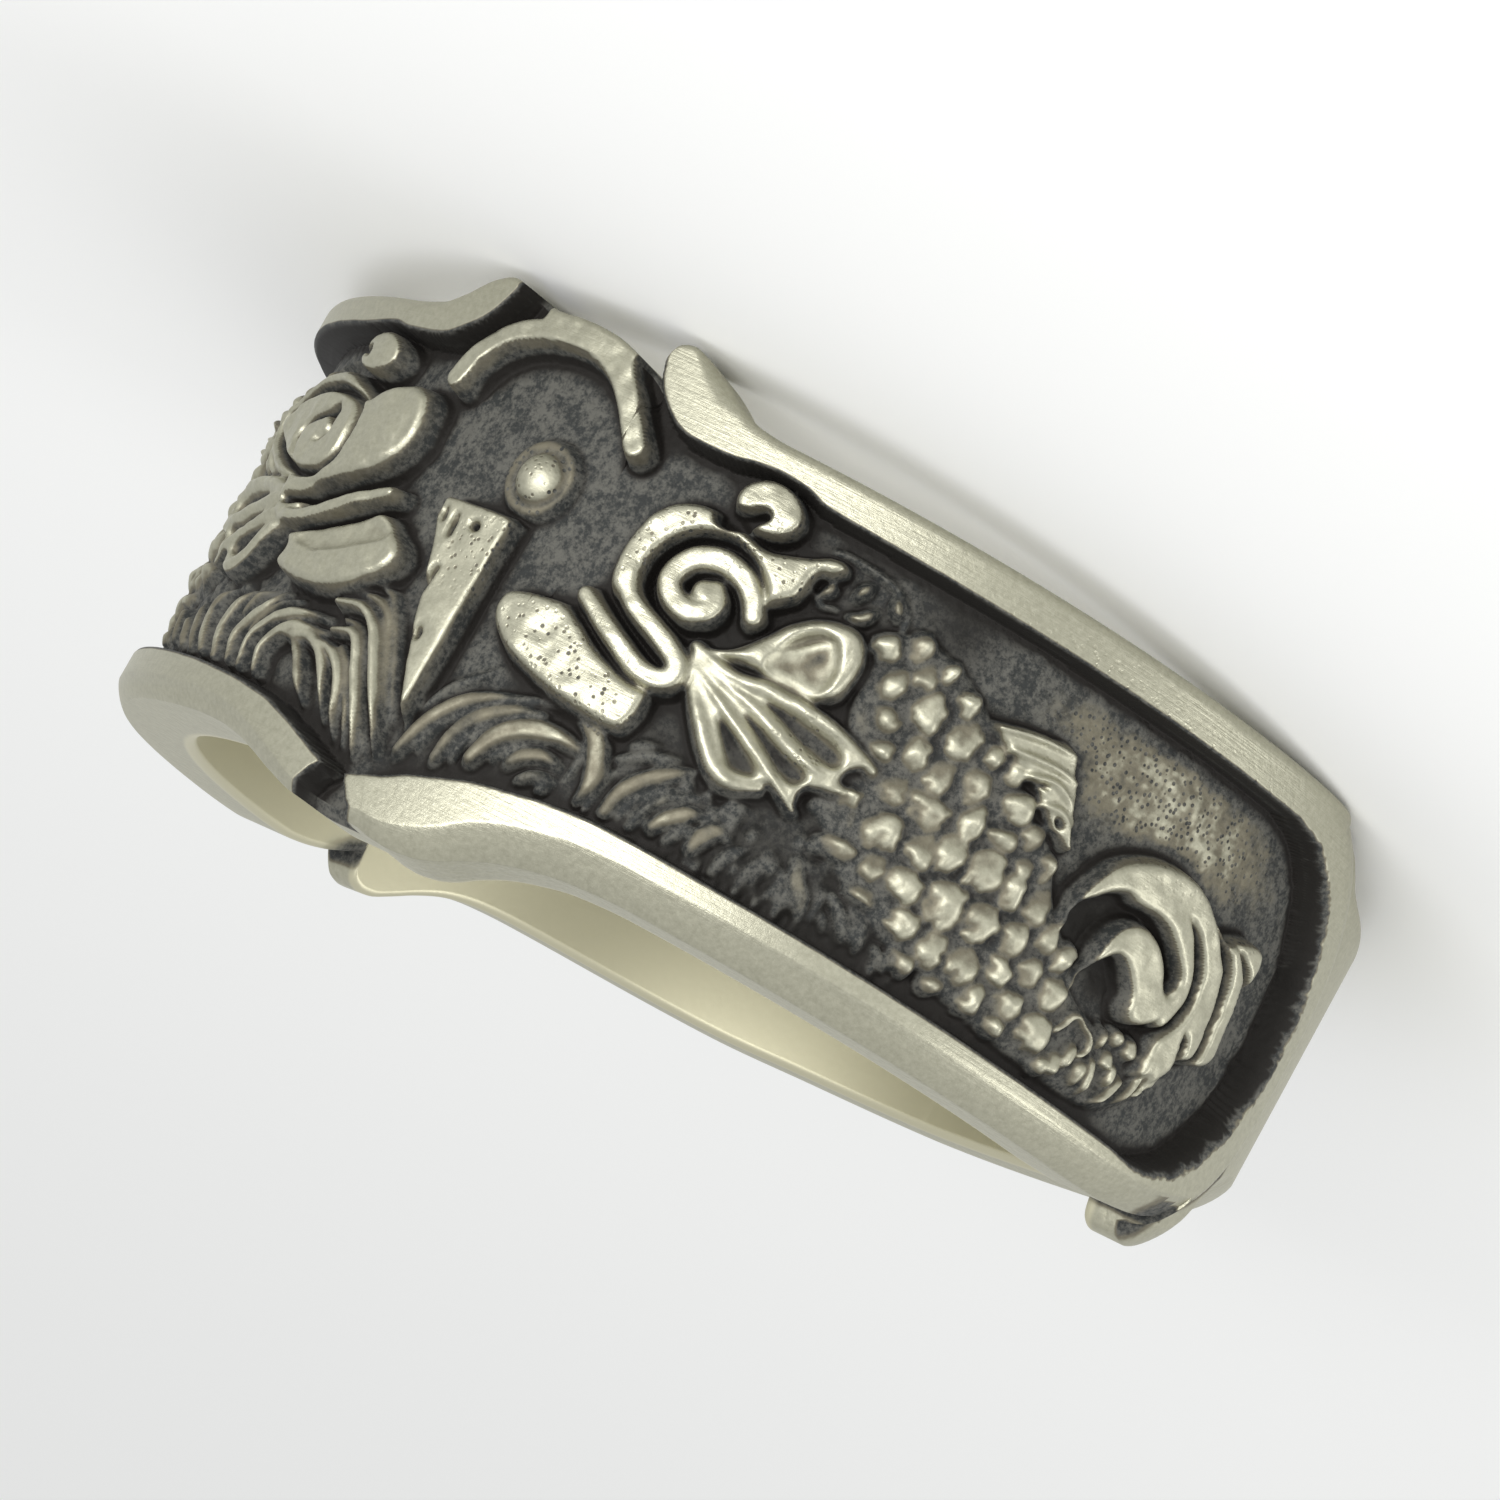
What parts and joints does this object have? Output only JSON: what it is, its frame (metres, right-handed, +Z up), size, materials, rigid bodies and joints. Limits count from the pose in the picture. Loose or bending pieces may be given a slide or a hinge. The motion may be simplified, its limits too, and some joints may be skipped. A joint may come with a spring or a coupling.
{
  "type": "band ring",
  "caption": "Wide cast silver finger ring whose sunken, railed front panel carries facing scaly fish, an arch, a pearl and waves in raised relief.",
  "frame": {"origin": "bottom centre of the ring's box, on the surface that it lies on", "axes": "+Z up, within five degrees of the finger hole's axis; the relief panel faces -Y; X to the panel's sides"},
  "size_m": [0.0226, 0.0226, 0.0101],
  "materials": {
    "silver": "cast silver, brushed satin on the rails and worn relief, dark tarnish in the sunken ground and crevices, smooth warm satin inside"
  },
  "bodies": {
    "root": {"band": "silver"}
  },
  "joints": []
}
